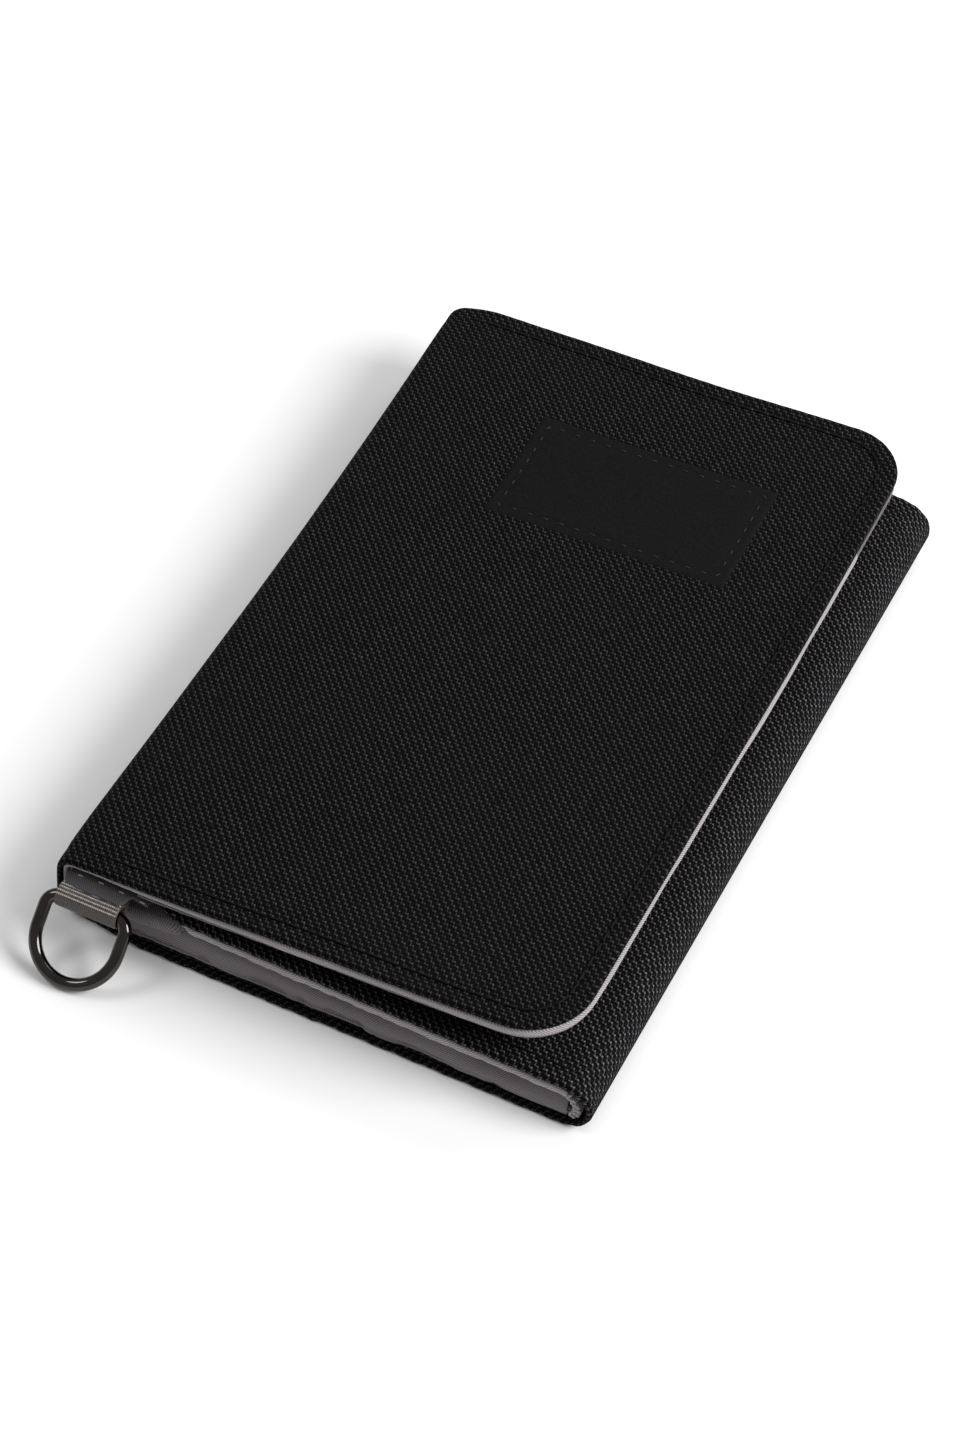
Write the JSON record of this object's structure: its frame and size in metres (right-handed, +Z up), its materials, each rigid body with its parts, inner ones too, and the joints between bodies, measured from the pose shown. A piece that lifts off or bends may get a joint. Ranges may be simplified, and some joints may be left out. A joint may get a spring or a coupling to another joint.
{
  "type": "passport holder wallet",
  "caption": "Soft folding travel wallet: a stitched canvas cover and inner leaf fold over a back panel with pockets; a D-ring hangs from a ribbon loop at one corner.",
  "frame": {"origin": "middle of the back panel's flat underside, which lies on the table", "axes": "+Z up out of the closed wallet; +X from the spine to the right fold; +Y along the folds, away from the D-ring's end"},
  "size_m": [0.0963, 0.1591, 0.0199],
  "materials": {
    "canvas": "matt black basket weave",
    "twill": "soft grey lining with a fine diagonal",
    "webbing": "ribbed grey ribbon",
    "board": "matt foam board",
    "foil": "thin satin foil",
    "label": "smooth black woven label",
    "gunmetal": "polished dark gunmetal plating"
  },
  "bodies": {
    "back_panel": {"back_shell": "canvas", "back_edge_tape": "canvas", "back_stiffener": "board", "back_shield_foil": "foil", "back_lining": "twill", "note_pocket_panel": "twill", "card_slot_1": "twill", "card_slot_2": "twill", "card_slot_3": "twill", "card_slot_4": "twill", "ribbon_loop": "webbing", "ribbon_gusset": "twill", "ribbon_tab": "twill"},
    "spine": {"spine_shell": "canvas", "spine_stiffener": "board", "spine_lining": "twill"},
    "cover": {"cover_shell": "canvas", "cover_edge_tape": "twill", "cover_stiffener": "board", "cover_shield_foil": "foil", "cover_lining": "twill", "passport_sleeve": "twill", "label_patch": "label"},
    "right_fold": {"fold_shell": "canvas", "fold_lining": "twill"},
    "wing": {"wing_shell": "canvas", "wing_edge_tape": "twill", "wing_stiffener": "board", "wing_lining": "twill", "wing_pocket_panel": "twill"},
    "ring": {"d_ring": "gunmetal"}
  },
  "joints": [
    {"name": "spine_fold", "type": "hinge", "parent": "back_panel", "child": "spine", "pos_m": [-0.0465, 0, 0.0015], "axis": [0, -1, 0], "range_deg": [0, 88.5]},
    {"name": "cover_fold", "type": "hinge", "parent": "spine", "child": "cover", "pos_m": [-0.0465, 0, 0.015], "axis": [0, -1, 0], "range_deg": [0, 88.5]},
    {"name": "gusset_fold", "type": "hinge", "parent": "back_panel", "child": "right_fold", "pos_m": [0.0465, 0, 0.0015], "axis": [0, 1, 0], "range_deg": [0, 22.12]},
    {"name": "wing_fold", "type": "hinge", "parent": "right_fold", "child": "wing", "pos_m": [0.0465, 0, 0.0087], "axis": [0, 1, 0], "range_deg": [0, 22.12]},
    {"name": "ring_swing", "type": "hinge", "parent": "back_panel", "child": "ring", "pos_m": [-0.0399, -0.0755, 0.0098], "axis": [-1, 0, 0], "range_deg": [-47, 132]}
  ],
  "couplings": [
    {"joint": "spine_fold", "follows": "cover_fold", "ratio": 1},
    {"joint": "gusset_fold", "follows": "cover_fold", "ratio": 0.25},
    {"joint": "wing_fold", "follows": "cover_fold", "ratio": 0.25}
  ]
}
